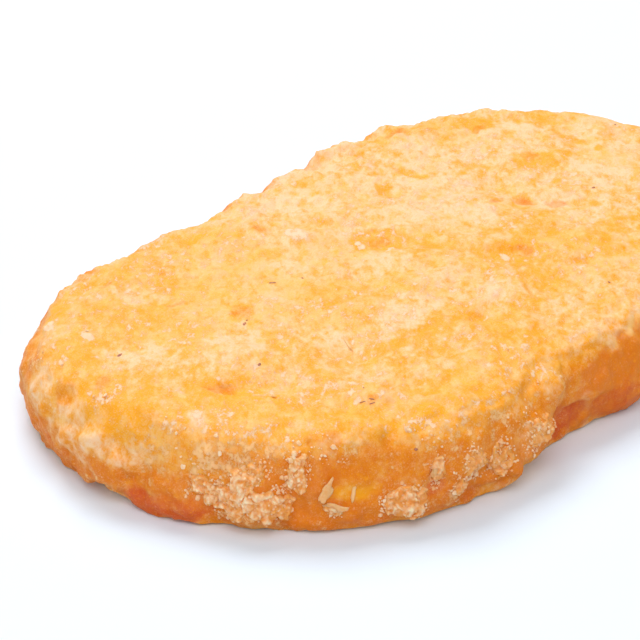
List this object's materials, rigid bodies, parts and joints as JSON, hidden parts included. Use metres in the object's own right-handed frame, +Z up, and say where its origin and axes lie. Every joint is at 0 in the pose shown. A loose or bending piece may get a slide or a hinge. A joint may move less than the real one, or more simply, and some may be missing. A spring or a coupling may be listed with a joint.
{
  "type": "hash brown patty",
  "caption": "Fried patty of shredded potato, an oblong with rounded ends and a slight waist, with a rough golden crust, lying flat.",
  "frame": {"origin": "middle of the patty's underside, on the surface that it rests on", "axes": "+X along the patty, +Y across it, +Z up through its thickness"},
  "size_m": [0.119, 0.0714, 0.0126],
  "materials": {
    "fried_crust": "crisp fried potato crust, mottled from pale cream to amber, with a light sheen of oil"
  },
  "bodies": {
    "root": {"hash_brown": "fried_crust"}
  },
  "joints": []
}
